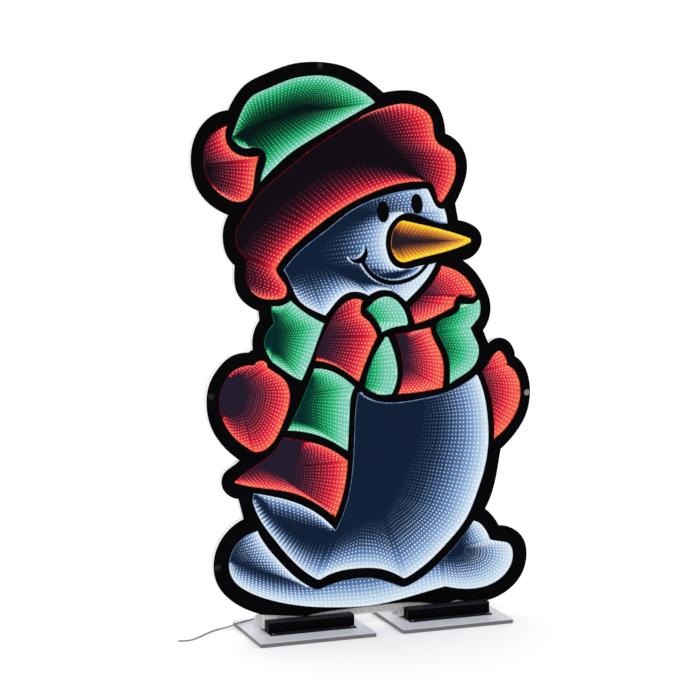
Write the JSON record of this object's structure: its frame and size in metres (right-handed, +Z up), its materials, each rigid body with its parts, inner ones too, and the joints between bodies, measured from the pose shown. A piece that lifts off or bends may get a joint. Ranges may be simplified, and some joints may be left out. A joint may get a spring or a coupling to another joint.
{
  "type": "light sign",
  "caption": "Flat free-standing snowman light sign: mirrored cells lined with LED tape in a sandwich of sheets, held upright by two slotted feet on plates.",
  "frame": {"origin": "on the floor, under the middle of the object, in the mid-plane of the sandwich", "axes": "+Z up, -Y towards the viewer of the lit face, +X to that viewer's right"},
  "size_m": [0.6214, 0.155, 0.9371],
  "materials": {
    "black_film": "satin print",
    "one_way_sheet": "clear, half-mirrored inside",
    "white_board": "matt",
    "mirror": "polished",
    "clear_sheet": "clear",
    "rivet_grey": "translucent grey",
    "tape_white": "lit",
    "tape_red": "lit",
    "tape_green": "lit",
    "tape_yellow": "lit",
    "led_white": "lit",
    "led_red": "lit",
    "led_green": "lit",
    "led_yellow": "lit",
    "plate_grey": "satin",
    "channel_black": "satin",
    "screw_steel": "brushed",
    "gland_black": "matt",
    "cord_jacket": "matt"
  },
  "bodies": {
    "sign": {"outline_film": "black_film", "eye_prints": "black_film", "front_sheet": "one_way_sheet", "spacer_core": "white_board", "rear_mirror": "mirror", "back_sheet": "clear_sheet", "sheet_rivets": "rivet_grey", "led_tape_pompom": "tape_red", "led_tape_hat_crown": "tape_green", "led_tape_hat_brim": "tape_red", "led_tape_face": "tape_white", "led_tape_nose": "tape_yellow", "led_tape_scarf_left": "tape_green", "led_tape_scarf_knot_left": "tape_red", "led_tape_scarf_knot_top": "tape_green", "led_tape_scarf_right_upper": "tape_red", "led_tape_scarf_right_end": "tape_green", "led_tape_scarf_leaf": "tape_green", "led_tape_scarf_lower": "tape_red", "led_tape_scarf_tail": "tape_green", "led_tape_scarf_tail_end": "tape_red", "led_tape_mitten_left": "tape_red", "led_tape_mitten_right": "tape_red", "led_tape_belly": "tape_white", "led_tape_snow_base": "tape_white", "led_beads_pompom": "led_red", "led_beads_hat_crown": "led_green", "led_beads_hat_brim": "led_red", "led_beads_face": "led_white", "led_beads_nose": "led_yellow", "led_beads_scarf_left": "led_green", "led_beads_scarf_knot_left": "led_red", "led_beads_scarf_knot_top": "led_green", "led_beads_scarf_right_upper": "led_red", "led_beads_scarf_right_end": "led_green", "led_beads_scarf_leaf": "led_green", "led_beads_scarf_lower": "led_red", "led_beads_scarf_tail": "led_green", "led_beads_scarf_tail_end": "led_red", "led_beads_mitten_left": "led_red", "led_beads_mitten_right": "led_red", "led_beads_belly": "led_white", "led_beads_snow_base": "led_white", "base_plate_left": "plate_grey", "foot_channel_left": "channel_black", "flange_screws_left": "screw_steel", "base_plate_right": "plate_grey", "foot_channel_right": "channel_black", "flange_screws_right": "screw_steel", "cable_gland": "gland_black", "power_cord": "cord_jacket"}
  },
  "joints": []
}
